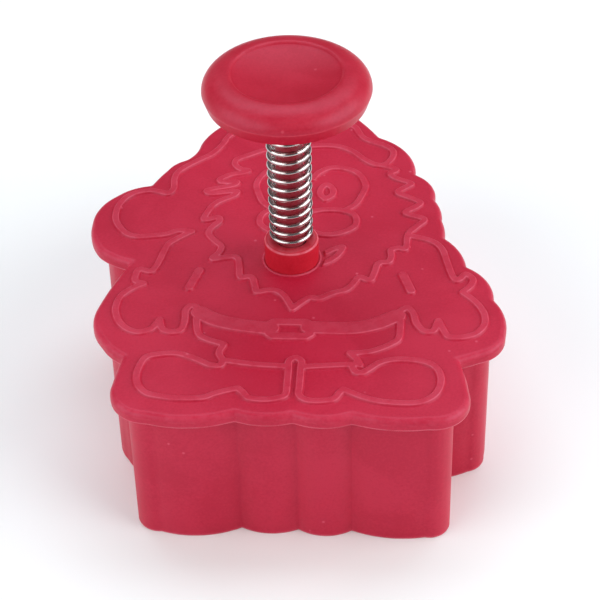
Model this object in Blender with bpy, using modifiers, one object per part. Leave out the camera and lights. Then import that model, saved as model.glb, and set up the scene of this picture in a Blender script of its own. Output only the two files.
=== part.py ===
"""Spring-plunger biscuit cutter in the shape of a bearded winter figure.

Metres, +Z up. The figure's boots point to -Y and its cap to +Y. The cutting edge rests on z = 0, and
the box of the flange is centred on x = 0, y = 0. The stem's axis is off that centre, at STEM_XY.
Every height above the body is given from the top of the body's plate.
"""
import math

import bmesh
import bpy
import numpy as np

MM = 0.001

# ---------------------------------------------------------------- driving dimensions

FIGURE_WIDTH = 58.0 * MM        # biscuit, from the pompom to the mitten
FIGURE_LENGTH = 75.8 * MM       # biscuit, from the boots to the top of the cap
BODY_DEPTH = 25.0 * MM          # from the plate's top to the cutting edge
PLATE = 2.0 * MM
FLANGE_OVERHANG = 2.2 * MM
FLANGE_ROUND = 0.6 * MM
WALL = 1.2 * MM

RELIEF_WIDTH = 1.1 * MM
RELIEF_HEIGHT = 0.35 * MM
DASH_WIDTH = 1.4 * MM
BELT_WIDTH = 2.7 * MM
BUCKLE_WIDTH = 1.5 * MM         # of the frame round the buckle's slot

STEM_RADIUS = 2.0 * MM

COLLAR_HEIGHT = 3.8 * MM
COLLAR_ROUND = 0.4 * MM
COLLAR_SHOULDER = 0.8 * MM      # how far the collar stands out past its spigot
SPIGOT_WALL = 0.9 * MM
SEAT_DEPTH = 0.6 * MM           # the counterbore in the plate that the collar stands in

KNOB_HEIGHT = 4.55 * MM         # from the rim's lower edge to the crest
KNOB_ABOVE_PLATE = 28.1 * MM    # height of the rim's lower edge
DISH_RADIUS = 7.7 * MM
CREST_RUN = 0.4 * MM            # from the dish's edge out to the crest
EDGE_RUN = 3.8 * MM             # from the crest out to the rim's side
DISH_DEPTH = 1.3 * MM           # from the crest to the middle of the dish
DISH_LIP = 0.33 * MM            # from the crest to the edge of the dish
CREST_EASE = 0.08 * MM          # drop of the crest halfway to the dish
KNOB_EDGE = 1.8 * MM            # height of the rim's upright side
KNOB_DRAFT = 0.5 * MM           # how far that side leans in at the bottom
KNOB_FOOT_ROUND = 0.3 * MM
CORING_DEPTH = 1.6 * MM
CORING_WALL = 1.5 * MM
CORING_DRAFT = 0.2 * MM
HUB_WALL = 1.7 * MM
HUB_DROP = 0.5 * MM
KNOB_ROOF = 0.65 * MM           # between the dish and the stem's socket

WIRE = 0.8 * MM
COIL_CLEARANCE = 0.45 * MM      # between the stem and the inside of the coil
OPEN_GAP = 0.77 * MM            # between neighbouring open turns
CLOSED_GAP = 0.2 * MM
CLOSED_TURNS = 1

STAMP_WALL = 1.2 * MM
STAMP_FACE = 2.0 * MM
STAMP_HEIGHT = 5.0 * MM
STAMP_BOSS_WALL = 1.95 * MM
STAMP_BOSS_HEIGHT = 9.2 * MM    # from the face's underside to the stop under the plate
RIDGE_WIDTH = 0.9 * MM
RIDGE_HEIGHT = 0.8 * MM
RIDGE_MARGIN = 0.7 * MM

FIT = 0.3 * MM                  # clearance between pieces that are seated in each other
STAMP_CLEARANCE = 0.5 * MM      # between the stamp and the cutting wall

ROUND_STEPS = 36
KNOB_EDGE_STEPS = 6
COLLAR_EDGE_STEPS = 2
RIM_STEPS = 2
COIL_STEPS = 11                 # points along one turn of the spring
OUTLINE_STEP = 0.6 * MM
OUTLINE_TOLERANCE = 0.07 * MM
OFFSET_CELL = 0.4 * MM
RELIEF_CELL = 0.3 * MM
SMALLEST_BAND = 1.6 * MM
WELD = 0.002 * MM
SAME_LEVEL = 0.01 * MM
FLAT_ANGLE = math.radians(0.5)  # below this two faces are one
RIM_ANGLE = math.radians(57)    # a rim's fold is sharper than this
SHARP_ANGLE = math.radians(35)

# ---------------------------------------------------------------- the drawing, in millimetres

# Corners of the biscuit's outline, clockwise from between the legs, seen from above and measured
# from the stem's axis: x, y, and how far the edge to the next corner bows outwards.
CUT_OUTLINE = [
    (2.1, -31.5, 1.0), (-6.0, -31.4, 1.2), (-17.5, -32.5, 1.5), (-21.0, -28.2, 0.3),
    (-19.7, -21.6, 0.6), (-24.0, -18.0, 0.7), (-25.3, -12.4, 0.1), (-23.3, -5.6, 0.1),
    (-20.6, 0.4, 0.8), (-27.2, 2.9, 0.5), (-28.7, 8.4, 0.75), (-26.4, 14.0, 0.7),
    (-21.4, 16.2, 0.2), (-19.0, 21.5, 0.35), (-17.0, 23.5, -0.6), (-14.2, 29.3, 0.4),
    (-11.2, 34.2, 0.3), (-7.0, 40.6, 1.8), (2.2, 41.2, 0.5), (6.5, 37.0, 0.2),
    (10.8, 30.6, 2.2), (15.6, 20.8, 1.6), (18.7, 15.3, 0.55), (19.9, 10.5, 0.4),
    (20.2, 5.1, 1.1), (23.5, -2.3, 1.5), (27.2, -9.0, 0.8), (28.8, -15.6, 0.75),
    (26.4, -18.9, 0.3), (21.4, -20.6, 0.4), (23.5, -28.6, 1.5), (20.1, -32.5, 0.8), (9.7, -31.5, 1.2),
]

# Centre lines of the relief that run as smooth curves.
SMOOTH_LINES = {
    "left_sleeve": [
        (-15.4, 5.9), (-17.4, 4.1), (-18.9, 1.5), (-19.4, -0.9), (-20.3, -3.7), (-22.1, -3.6),
        (-22.5, -5.8), (-21.4, -6.9), (-23.0, -8.1), (-24.5, -11.0), (-24.4, -13.8), (-22.9, -16.6),
        (-20.7, -17.7), (-18.9, -16.9), (-18.0, -15.0)],
    "left_thumb": [
        (-18.2, -15.4), (-17.4, -17.0), (-16.0, -17.6), (-14.7, -16.9), (-14.4, -14.8), (-14.2, -12.6),
        (-13.6, -11.8)],
    "pompom": [
        (-21.1, 15.9), (-22.7, 16.3), (-25.4, 15.3), (-27.0, 13.0), (-27.4, 10.2), (-26.7, 7.3),
        (-25.0, 5.2), (-22.7, 4.5), (-19.1, 5.2), (-17.2, 6.0), (-15.4, 5.9)],
    "cap_left": [
        (-9.0, 35.5), (-11.0, 32.6), (-12.4, 29.7), (-14.4, 26.1), (-17.2, 23.6), (-19.1, 21.1),
        (-19.3, 18.0), (-19.7, 15.6), (-21.1, 15.9)],
    "cap_top": [(-9.0, 35.5), (-5.6, 38.6), (-1.5, 39.2), (2.8, 37.8), (6.0, 35.4)],
    "cap_right": [
        (6.0, 35.4), (8.4, 34.2), (9.6, 31.8), (11.6, 30.1), (14.1, 28.4), (14.5, 26.2), (13.0, 23.8)],
    "cap_brim": [
        (-8.8, 25.8), (-6.0, 27.5), (-2.6, 28.6), (0.8, 28.8), (3.6, 29.1), (6.1, 28.6), (8.6, 27.0),
        (10.6, 24.9), (13.0, 23.8)],
    "left_boot": [
        (-8.3, -24.4), (-10.0, -24.5), (-11.8, -23.5), (-14.6, -22.3), (-17.4, -22.5), (-19.2, -23.4),
        (-19.9, -26.2), (-19.4, -29.1), (-17.4, -31.0), (-14.0, -31.5), (-10.3, -31.2), (-7.8, -29.9),
        (-5.9, -29.3), (-4.6, -30.8), (-2.6, -31.4), (-0.4, -31.2), (0.8, -30.2), (0.9, -27.0),
        (0.9, -23.6)],
    "right_boot": [
        (2.6, -23.6), (2.6, -27.0), (2.7, -30.3), (4.3, -31.5), (7.2, -31.1), (8.6, -29.2), (10.8, -30.3),
        (14.0, -31.4), (18.0, -31.5), (20.9, -29.9), (21.8, -26.8), (20.9, -23.8), (18.4, -22.7),
        (15.2, -22.8), (12.9, -23.8), (11.6, -25.3), (10.1, -25.3)],
    "right_thumb": [
        (16.6, -12.0), (17.8, -12.6), (18.4, -14.8), (19.6, -16.4), (21.0, -16.2), (21.5, -14.2)],
    "right_sleeve": [
        (21.5, -14.2), (22.1, -16.2), (23.6, -17.7), (26.0, -17.3), (27.8, -15.3), (28.1, -12.4),
        (26.9, -9.9), (25.1, -7.6), (26.4, -5.4), (25.3, -3.6), (24.0, -4.8), (23.2, -2.4), (22.4, 1.6),
        (20.9, 4.2), (17.4, 5.6)],
    "coat_left": [(-12.8, -15.4), (-12.2, -17.6), (-10.6, -19.2), (-8.3, -20.2)],
    "coat_right": [(16.3, -14.9), (15.9, -18.0), (13.6, -20.5), (9.3, -21.6)],
    "hem_left": [(-8.3, -23.4), (-4.0, -24.2), (0.0, -24.4)],
    "hem_right": [(3.5, -24.5), (7.0, -24.2), (10.9, -24.0)],
    "leg_gap_top": [(0.0, -24.4), (0.7, -23.2), (1.7, -22.7), (2.8, -23.2), (3.5, -24.5)],
    "right_cheek": [
        (2.4, 20.4), (4.6, 22.7), (7.0, 22.9), (9.4, 21.1), (10.4, 18.0), (9.6, 14.8), (7.6, 12.0)],
    "left_cheek": [
        (1.4, 20.4), (-0.8, 22.7), (-3.2, 22.9), (-5.6, 21.1), (-6.6, 18.0), (-5.8, 14.8), (-3.8, 12.0)],
    "right_moustache": [
        (1.9, 11.2), (4.2, 11.9), (7.0, 11.8), (8.9, 10.4), (8.9, 7.8), (6.6, 5.9), (4.1, 5.7), (1.9, 7.0)],
    "left_moustache": [
        (1.9, 11.2), (-0.4, 11.9), (-3.2, 11.8), (-5.1, 10.4), (-5.1, 7.8), (-2.8, 5.9), (-0.3, 5.7),
        (1.9, 7.0)],
    "lip": [(4.8, -1.2), (6.2, 0.1), (7.1, 2.0)],
}

# Centre lines of the relief that turn sharply: the beard, the coat's slits and the eyes.
ANGLED_LINES = {
    "beard_left": [
        (-8.8, 25.8), (-10.3, 24.6), (-9.6, 22.6), (-7.7, 22.0), (-10.8, 20.8), (-12.6, 19.0),
        (-9.3, 19.0), (-10.0, 17.8), (-14.4, 16.4), (-9.1, 16.5), (-11.9, 13.8), (-13.4, 11.4),
        (-14.1, 8.6), (-11.6, 9.7), (-13.0, 5.5), (-10.5, 2.4), (-12.1, -1.0), (-8.0, -0.1),
        (-7.4, -5.2), (-5.6, -4.5), (-4.8, -8.6), (-1.8, -7.9), (0.7, -12.0)],
    "beard_right": [
        (0.7, -12.0), (3.0, -9.4), (4.5, -9.8), (8.2, -7.7), (10.0, -4.3), (11.8, -5.4), (12.7, -1.0),
        (14.4, -0.9), (14.4, 2.2), (16.9, 2.4), (16.9, 6.1), (19.9, 9.9), (16.3, 11.5), (19.1, 14.1),
        (14.9, 16.6), (17.7, 19.1), (13.8, 21.4), (15.3, 22.8), (13.0, 23.8)],
    "coat_slit_left": [(-8.3, -20.2), (-9.1, -22.0), (-8.3, -23.4)],
    "coat_slit_right": [(9.3, -21.6), (10.3, -22.7), (10.9, -24.0)],
    "right_eye": [(4.2, 15.0), (3.6, 16.6), (4.2, 18.2), (5.2, 16.8), (5.0, 15.2), (4.2, 15.0)],
    "left_eye": [(-0.4, 15.0), (0.2, 16.6), (-0.4, 18.2), (-1.4, 16.8), (-1.2, 15.2), (-0.4, 15.0)],
}

DASHES = {
    "left_dash": [(-13.4, -3.5), (-14.5, -7.5)],
    "right_dash": [(16.4, -3.7), (17.6, -7.5)],
}
BELTS = {
    "left_belt": [(-12.4, -13.2), (-10.0, -14.8), (-6.8, -15.8), (-2.2, -16.5)],
    "right_belt": [(3.4, -16.1), (9.2, -16.1), (12.6, -15.1), (15.6, -13.2)],
}
BUCKLE = [
    (-2.2, -15.4), (-1.7, -15.0), (2.9, -15.0), (3.4, -15.4), (3.4, -17.7), (2.9, -18.1), (-1.7, -18.1),
    (-2.2, -17.7), (-2.2, -15.4)]

# ---------------------------------------------------------------- the scene and its collections

for old in list(bpy.data.objects):
    bpy.data.objects.remove(old, do_unlink=True)

parts = bpy.data.collections.new("biscuit_cutter")
bpy.context.scene.collection.children.link(parts)
cutters = bpy.data.collections.new("cutters")
bpy.context.scene.collection.children.link(cutters)


def material(name, colour, roughness, metallic=0.0):
    made = bpy.data.materials.new(name)
    made.use_nodes = True
    shader = made.node_tree.nodes["Principled BSDF"]
    shader.inputs["Base Color"].default_value = (*colour, 1.0)
    shader.inputs["Roughness"].default_value = roughness
    shader.inputs["Metallic"].default_value = metallic
    return made


# ---------------------------------------------------------------- outlines

def along_arc(start, end, rise, step):
    """Points from start up to but not at end, on an arc that stands rise to the left of the chord."""
    chord = math.dist(start, end)
    ahead = ((end[0] - start[0]) / chord, (end[1] - start[1]) / chord)
    left = (-ahead[1], ahead[0])
    radius = (chord * chord / 4 + rise * rise) / (2 * abs(rise))
    sweep = 4 * math.atan(2 * abs(rise) / chord)
    count = max(2, round(radius * sweep / step))
    points = []
    for index in range(count):
        angle = sweep * (index / count - 0.5)
        across = radius * (math.cos(angle) - math.cos(sweep / 2)) * math.copysign(1, rise)
        forward = chord / 2 + radius * math.sin(angle)
        points.append((start[0] + ahead[0] * forward + left[0] * across,
                       start[1] + ahead[1] * forward + left[1] * across))
    return points


def biscuit_outline():
    """The outline of the cutting wall's outer face, at the figure's real size."""
    points = []
    for index, (x, y, rise) in enumerate(CUT_OUTLINE):
        next_x, next_y, _ = CUT_OUTLINE[(index + 1) % len(CUT_OUTLINE)]
        points += along_arc((x, y), (next_x, next_y), rise, OUTLINE_STEP / MM)
    return np.array(points)


DRAWN = biscuit_outline()
DRAWN_SIZE = DRAWN.max(axis=0) - DRAWN.min(axis=0)
SCALE = np.array([FIGURE_WIDTH, FIGURE_LENGTH]) / DRAWN_SIZE


def distance_to(points, path, closed):
    """Shortest distance from each point to a path of straight stretches."""
    starts = path if closed else path[:-1]
    ends = np.roll(path, -1, axis=0) if closed else path[1:]
    nearest = np.full(len(points), np.inf)
    for start, end in zip(starts, ends):
        stretch = end - start
        share = np.clip((points - start) @ stretch / (stretch @ stretch), 0, 1)
        gap = points - start - share[:, None] * stretch
        nearest = np.minimum(nearest, np.hypot(gap[:, 0], gap[:, 1]))
    return nearest


def inside(points, loop):
    """True for each point within a closed loop."""
    result = np.zeros(len(points), bool)
    for start, end in zip(loop, np.roll(loop, -1, axis=0)):
        if start[1] == end[1]:
            continue
        spans = (start[1] > points[:, 1]) != (end[1] > points[:, 1])
        crossing = start[0] + (points[:, 1] - start[1]) * (end[0] - start[0]) / (end[1] - start[1])
        result ^= spans & (points[:, 0] < crossing)
    return result


def thinned(points, tolerance):
    """A closed loop without the points that lie within tolerance of the line past them."""
    kept = [0, len(points) // 2]
    spans = [(0, len(points) // 2), (len(points) // 2, len(points))]
    ring = np.vstack([points, points[:1]])
    while spans:
        first, last = spans.pop()
        if last - first < 2:
            continue
        off_line = distance_to(ring[first + 1:last], ring[[first, last]], closed=False)
        worst = int(off_line.argmax())
        if off_line[worst] > tolerance:
            middle = first + 1 + worst
            kept.append(middle)
            spans += [(first, middle), (middle, last)]
    return points[sorted(kept)]


def smooth_path(points, pieces=4):
    """Points of a Catmull-Rom curve through the given ones."""
    ends = [2 * points[0] - points[1], 2 * points[-1] - points[-2]]
    p = np.vstack([ends[0], points, ends[1]])
    path = []
    for i in range(1, len(p) - 2):
        for step in range(pieces):
            t = step / pieces
            path.append(0.5 * (2 * p[i] + (p[i + 1] - p[i - 1]) * t
                               + (2 * p[i - 1] - 5 * p[i] + 4 * p[i + 1] - p[i + 2]) * t * t
                               + (3 * p[i] - p[i - 1] - 3 * p[i + 1] + p[i + 2]) * t ** 3))
    path.append(points[-1])
    return np.array(path)


def zero_loops(field, xs, ys):
    """Loops along which a field on a grid is zero. A crossing is named by the grid edge it is on."""
    def crossing(edge):
        (i, j), (k, l) = edge
        share = field[i, j] / (field[i, j] - field[k, l])
        return (xs[i] + (xs[k] - xs[i]) * share, ys[j] + (ys[l] - ys[j]) * share)

    after = {}
    below = field < 0
    mixed = below[:-1, :-1].astype(int) + below[1:, :-1] + below[1:, 1:] + below[:-1, 1:]
    for i, j in np.argwhere((mixed > 0) & (mixed < 4)):
        corners = [(i, j), (i + 1, j), (i + 1, j + 1), (i, j + 1)]
        entries = []
        exits = []
        for a, b in zip(corners, corners[1:] + corners[:1]):
            edge = (min(a, b), max(a, b))
            if below[a] and not below[b]:
                exits.append(edge)
            if below[b] and not below[a]:
                entries.append(edge)
        if len(exits) == 2 and below[corners[0]]:
            entries.reverse()
        for entry, leave in zip(entries, exits):
            after[leave] = entry
    loops = []
    while after:
        first, edge = after.popitem()
        loop = [crossing(first)]
        while edge != first:
            loop.append(crossing(edge))
            edge = after.pop(edge)
        loops.append(np.array(loop))
    return loops


def loops_of(field_at, low, high, cell, smallest=0.0):
    """Closed outlines of the region between two corners where field_at is below zero."""
    low = low - 3 * cell
    columns, rows = np.ceil((high - low) / cell).astype(int) + 4
    xs = low[0] + cell * np.arange(columns)
    ys = low[1] + cell * np.arange(rows)
    grid = np.column_stack([np.repeat(xs, rows), np.tile(ys, columns)])
    field = field_at(grid).reshape(columns, rows)
    field[np.abs(field) < cell * 1e-3] = cell * 1e-3
    loops = zero_loops(field, xs, ys)
    return [thinned(loop, OUTLINE_TOLERANCE) for loop in loops if np.ptp(loop, axis=0).max() > smallest]


def height_over(points, loop):
    """Distance to a closed loop, below zero within it."""
    return distance_to(points, loop, closed=True) * np.where(inside(points, loop), -1, 1)


def moved_out(loop, distance):
    """The outline of all that lies within distance of a closed loop; inwards if below zero."""
    reach = max(distance, 0.0)
    low = loop.min(axis=0) - reach
    high = loop.max(axis=0) + reach
    return max(loops_of(lambda grid: height_over(grid, loop) - distance, low, high, OFFSET_CELL), key=len)


CUT_LOOP = DRAWN * SCALE
FLANGE_LOOP = moved_out(CUT_LOOP, FLANGE_OVERHANG)
INNER_LOOP = moved_out(CUT_LOOP, -WALL)
STAMP_LOOP = moved_out(CUT_LOOP, -(WALL + STAMP_CLEARANCE))
STAMP_POCKET = moved_out(CUT_LOOP, -(WALL + STAMP_CLEARANCE + STAMP_WALL))

FLANGE_MIDDLE = (FLANGE_LOOP.max(axis=0) + FLANGE_LOOP.min(axis=0)) / 2
STEM_XY = (-FLANGE_MIDDLE[0], -FLANGE_MIDDLE[1])


# ---------------------------------------------------------------- relief

def relief_lines(width):
    """Each centre line at the figure's real size, with half the width of its band."""
    lines = [(smooth_path(np.array(line) * SCALE), width / 2) for line in SMOOTH_LINES.values()]
    lines += [(np.array(line) * SCALE, width / 2) for line in ANGLED_LINES.values()]
    lines += [(np.array(line) * SCALE, DASH_WIDTH / 2) for line in DASHES.values()]
    lines += [(smooth_path(np.array(line) * SCALE), BELT_WIDTH / 2) for line in BELTS.values()]
    lines.append((np.array(BUCKLE) * SCALE, BUCKLE_WIDTH / 2))
    return lines


def band_outlines(lines, within=None, margin=0.0):
    """Closed outlines of all the bands together, kept at margin from the edge of a loop."""
    everything = np.vstack([path for path, _ in lines])
    widest = max(half for _, half in lines)

    def field_at(grid):
        field = np.full(len(grid), widest)
        for path, half in lines:
            reach = half + 2 * RELIEF_CELL
            near = np.all((grid > path.min(axis=0) - reach) & (grid < path.max(axis=0) + reach), axis=1)
            field[near] = np.minimum(field[near], distance_to(grid[near], path, closed=False) - half)
        if within is not None:
            field = np.maximum(field, height_over(grid, within) + margin)
        return field

    return loops_of(field_at, everything.min(axis=0) - widest, everything.max(axis=0) + widest,
                    RELIEF_CELL, smallest=SMALLEST_BAND)


# ---------------------------------------------------------------- making solids

def place(thing, collection=parts):
    collection.objects.link(thing)
    if collection is cutters:
        thing.hide_render = True
        thing.display_type = "WIRE"
    return thing


def as_mesh(curve_object, name, collection):
    """The filled and extruded curve as a mesh with its caps welded on."""
    bpy.context.scene.collection.objects.link(curve_object)
    bpy.context.view_layer.update()
    evaluated = curve_object.evaluated_get(bpy.context.evaluated_depsgraph_get())
    mesh = bpy.data.meshes.new_from_object(evaluated)
    mesh.name = name
    bm = bmesh.new()
    bm.from_mesh(mesh)
    bmesh.ops.remove_doubles(bm, verts=bm.verts, dist=WELD)
    bm.to_mesh(mesh)
    bm.free()
    solid = bpy.data.objects.new(name, mesh)
    solid.matrix_world = curve_object.matrix_world
    bpy.data.objects.remove(curve_object, do_unlink=True)
    return place(solid, collection)


def flat_solid(name, loops, low, high, collection=cutters):
    """A plate of the given outlines between two heights. A loop inside another is a hole."""
    curve = bpy.data.curves.new(f"{name}_outline", "CURVE")
    curve.dimensions = "2D"
    curve.fill_mode = "BOTH"
    curve.extrude = (high - low) / 2
    for loop in loops:
        spline = curve.splines.new("POLY")
        spline.points.add(len(loop) - 1)
        spline.points.foreach_set("co", [value for x, y in loop for value in (x, y, 0, 1)])
        spline.use_cyclic_u = True
    thing = bpy.data.objects.new(f"{name}_outline", curve)
    thing.location = (*STEM_XY, (low + high) / 2)
    return as_mesh(thing, name, collection)


def turned(name, profile, collection=parts, steps=ROUND_STEPS):
    """A solid turned from a profile of radius and height, from the top down the outer side."""
    mesh = bpy.data.meshes.new(name)
    points = [(radius, 0, height) for radius, height in profile]
    edges = [(i, i + 1) for i in range(len(points) - 1)]
    if points[0] == points[-1]:
        points.pop()
        edges[-1] = (len(points) - 1, 0)
    mesh.from_pydata(points, edges, [])
    thing = bpy.data.objects.new(name, mesh)
    screw = thing.modifiers.new("turn", "SCREW")
    screw.axis = "Z"
    screw.steps = steps
    screw.render_steps = steps
    screw.use_merge_vertices = True
    screw.merge_threshold = WELD
    thing.location = (*STEM_XY, 0)
    return place(thing, collection)


def joined(target, tool, operation):
    boolean = target.modifiers.new(f"{operation.lower()}_{tool.name}", "BOOLEAN")
    boolean.operation = operation
    boolean.object = tool
    boolean.solver = "EXACT"


def rounded_rim(solid, width, heights):
    """Bevels the edges of a flat solid's outline that lie at the given heights."""
    bm = bmesh.new()
    bm.from_mesh(solid.data)
    bmesh.ops.dissolve_limit(bm, angle_limit=FLAT_ANGLE, verts=bm.verts, edges=bm.edges)
    weight = bm.edges.layers.float.new("bevel_weight_edge")
    for edge in bm.edges:
        level = [vert.co.z + solid.location.z for vert in edge.verts]
        on_rim = any(max(abs(z - height) for z in level) < SAME_LEVEL for height in heights)
        if on_rim and edge.calc_face_angle(0) > RIM_ANGLE:
            edge[weight] = 1
    bm.to_mesh(solid.data)
    bm.free()
    bevel = solid.modifiers.new("rim", "BEVEL")
    bevel.limit_method = "WEIGHT"
    bevel.width = width
    bevel.segments = RIM_STEPS
    bevel.use_clamp_overlap = False


def quarter_round(radius, height, across, up, steps):
    """Profile points of a quarter of an ellipse, from its top to its outermost point."""
    angles = [math.radians(90) * (1 - index / steps) for index in range(steps + 1)]
    return [(radius + across * math.cos(angle), height + up * math.sin(angle)) for angle in angles]


def paint(thing, finish):
    thing.data.materials.clear()
    thing.data.materials.append(finish)


# ---------------------------------------------------------------- heights, in the world

PLATE_TOP = BODY_DEPTH
PLATE_UNDER = PLATE_TOP - PLATE
COLLAR_TOP = PLATE_TOP + COLLAR_HEIGHT
KNOB_LOW = PLATE_TOP + KNOB_ABOVE_PLATE
KNOB_CREST = KNOB_LOW + KNOB_HEIGHT
HUB_LOW = KNOB_LOW - HUB_DROP
STOP = PLATE_UNDER - FIT                       # top of the stamp's boss, under the plate
STAMP_UNDER = STOP - STAMP_BOSS_HEIGHT
STAMP_FLOOR = STAMP_UNDER + STAMP_FACE
SPRING_LOW = COLLAR_TOP + FIT / 2
SPRING_HIGH = HUB_LOW - FIT / 2
KNOB_SOCKET_TOP = KNOB_CREST - DISH_DEPTH - KNOB_ROOF

# ---------------------------------------------------------------- radii that follow from fits

SOCKET_RADIUS = STEM_RADIUS + FIT
SPIGOT_RADIUS = SOCKET_RADIUS + SPIGOT_WALL
COLLAR_RADIUS = SPIGOT_RADIUS + COLLAR_SHOULDER
HUB_RADIUS = SOCKET_RADIUS + HUB_WALL
STAMP_BOSS_RADIUS = SOCKET_RADIUS + STAMP_BOSS_WALL
CREST_RADIUS = DISH_RADIUS + CREST_RUN
KNOB_RADIUS = CREST_RADIUS + EDGE_RUN
COIL_RADIUS = STEM_RADIUS + COIL_CLEARANCE + WIRE / 2     # to the middle of the wire
OPEN_PITCH = WIRE + OPEN_GAP
CLOSED_PITCH = WIRE + CLOSED_GAP


# ---------------------------------------------------------------- the pieces

def make_cutter_body(finish):
    """Plate with its flange and relief, and the cutting wall below it, moulded in one."""
    body = flat_solid("cutter_body", [FLANGE_LOOP], PLATE_UNDER, PLATE_TOP, parts)
    rounded_rim(body, FLANGE_ROUND, [PLATE_UNDER, PLATE_TOP])
    wall = flat_solid("wall", [thinned(CUT_LOOP, OUTLINE_TOLERANCE), INNER_LOOP], 0.0, PLATE_TOP - PLATE / 2)
    relief = flat_solid(
        "relief", band_outlines(relief_lines(RELIEF_WIDTH)),
        PLATE_TOP - RELIEF_HEIGHT, PLATE_TOP + RELIEF_HEIGHT)
    seat_radius = COLLAR_RADIUS + FIT
    hole_radius = SPIGOT_RADIUS + FIT
    seat = turned("collar_seat", [
        (0, PLATE_TOP + 2 * RELIEF_HEIGHT), (seat_radius, PLATE_TOP + 2 * RELIEF_HEIGHT),
        (seat_radius, PLATE_TOP - SEAT_DEPTH), (hole_radius, PLATE_TOP - SEAT_DEPTH),
        (hole_radius, PLATE_UNDER - PLATE), (0, PLATE_UNDER - PLATE)], cutters)
    joined(body, wall, "UNION")
    joined(body, relief, "UNION")
    joined(body, seat, "DIFFERENCE")
    paint(body, finish)


def make_guide_collar(finish):
    """Bush that stands in the plate, guides the stem and seats the spring."""
    foot = PLATE_TOP - SEAT_DEPTH + FIT
    edge = quarter_round(COLLAR_RADIUS - COLLAR_ROUND, COLLAR_TOP - COLLAR_ROUND,
                         COLLAR_ROUND, COLLAR_ROUND, COLLAR_EDGE_STEPS)
    collar = turned("guide_collar", [
        (SOCKET_RADIUS, COLLAR_TOP), *edge, (COLLAR_RADIUS, foot), (SPIGOT_RADIUS, foot),
        (SPIGOT_RADIUS, PLATE_UNDER), (SOCKET_RADIUS, PLATE_UNDER), (SOCKET_RADIUS, COLLAR_TOP)])
    paint(collar, finish)


def coil_points():
    """Middle of the wire: closed turns at both ends and open ones between, right-handed."""
    low = SPRING_LOW + WIRE / 2
    rise = SPRING_HIGH - WIRE / 2 - low
    open_turns = (rise - 2 * CLOSED_TURNS * CLOSED_PITCH) / OPEN_PITCH
    turns = open_turns + 2 * CLOSED_TURNS
    steps = round(turns * COIL_STEPS)
    points = []
    for index in range(steps + 1):
        turn = turns * index / steps
        closed_below = min(turn, CLOSED_TURNS)
        closed_above = max(0.0, turn - CLOSED_TURNS - open_turns)
        opened = turn - closed_below - closed_above
        height = low + (closed_below + closed_above) * CLOSED_PITCH + opened * OPEN_PITCH
        angle = 2 * math.pi * turn
        points.append((COIL_RADIUS * math.cos(angle), COIL_RADIUS * math.sin(angle), height))
    return points


def make_return_spring(finish):
    curve = bpy.data.curves.new("return_spring", "CURVE")
    curve.dimensions = "3D"
    curve.bevel_depth = WIRE / 2
    curve.bevel_resolution = 2
    curve.use_fill_caps = True
    points = coil_points()
    spline = curve.splines.new("POLY")
    spline.points.add(len(points) - 1)
    spline.points.foreach_set("co", [value for point in points for value in (*point, 1)])
    coil = bpy.data.objects.new("return_spring", curve)
    coil.location = (*STEM_XY, 0)
    paint(place(coil), finish)


def make_plunger_stem(axis, finish):
    """Rod from the stamp's socket, through the collar and the spring, into the knob."""
    low = STAMP_FLOOR + FIT
    high = KNOB_SOCKET_TOP - FIT
    bpy.ops.mesh.primitive_cylinder_add(
        vertices=ROUND_STEPS, radius=STEM_RADIUS, depth=high - low, location=(*STEM_XY, (low + high) / 2))
    stem = bpy.context.active_object
    stem.name = "plunger_stem"
    stem.data.name = "plunger_stem"
    for owner in list(stem.users_collection):
        owner.objects.unlink(stem)
    paint(place(stem), finish)
    hang(stem, axis)


def dish_height(radius):
    """The dish is a shallow bowl that ends a little under the crest."""
    return KNOB_CREST - DISH_DEPTH + (DISH_DEPTH - DISH_LIP) * (radius / DISH_RADIUS) ** 2


def knob_profile():
    """The knob from the middle of its dish, over the rim, to the bottom of the stem's socket."""
    rim_top = KNOB_LOW + KNOB_EDGE
    core = KNOB_LOW + CORING_DEPTH
    foot = KNOB_RADIUS - KNOB_DRAFT
    inner = foot - CORING_WALL
    bowl = [(DISH_RADIUS * share, dish_height(DISH_RADIUS * share)) for share in (0, 0.25, 0.5, 0.75, 1)]
    rim = quarter_round(CREST_RADIUS, rim_top, KNOB_RADIUS - CREST_RADIUS, KNOB_CREST - rim_top,
                        KNOB_EDGE_STEPS)
    return [
        *bowl, ((DISH_RADIUS + CREST_RADIUS) / 2, KNOB_CREST - CREST_EASE), *rim,
        (foot, KNOB_LOW + KNOB_FOOT_ROUND), (foot - KNOB_FOOT_ROUND, KNOB_LOW), (inner, KNOB_LOW),
        (inner - CORING_DRAFT, core), (HUB_RADIUS + CORING_DRAFT, core), (HUB_RADIUS, HUB_LOW),
        (SOCKET_RADIUS, HUB_LOW), (SOCKET_RADIUS, KNOB_SOCKET_TOP), (0, KNOB_SOCKET_TOP)]


def make_press_knob(axis, finish):
    """Dished knob with a cored underside and a hub that takes the stem and the spring's end."""
    knob = turned("press_knob", knob_profile())
    paint(knob, finish)
    hang(knob, axis)


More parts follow.
